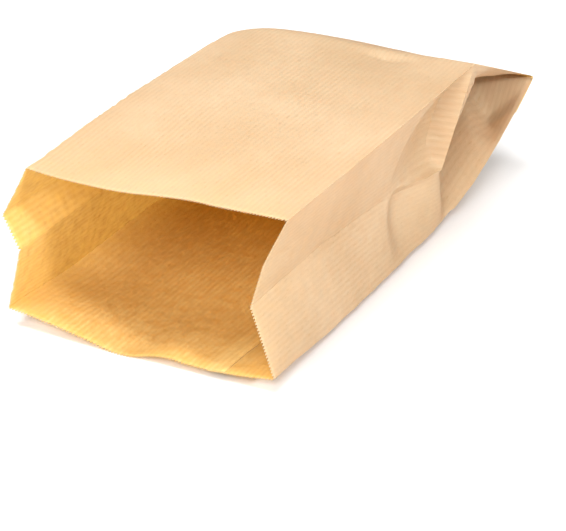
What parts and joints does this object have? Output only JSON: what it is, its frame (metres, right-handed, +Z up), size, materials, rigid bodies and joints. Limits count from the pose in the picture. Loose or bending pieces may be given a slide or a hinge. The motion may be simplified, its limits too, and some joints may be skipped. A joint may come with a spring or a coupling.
{
  "type": "paper lunch bag",
  "caption": "Gusseted brown kraft paper bag lying open on its floor panel, with an open pinked mouth and a pinched, folded and glued end.",
  "frame": {"origin": "centre of the bag's box, on the surface it lies on", "axes": "+Z up; +Y from the open mouth to the closed ridge; +X across the panels, towards the side that the roof panel has slid to"},
  "size_m": [0.162, 0.3082, 0.096],
  "materials": {
    "kraft_paper": "ribbed machine-glazed brown kraft"
  },
  "bodies": {
    "root": {"paper_bag": "kraft_paper"}
  },
  "joints": []
}
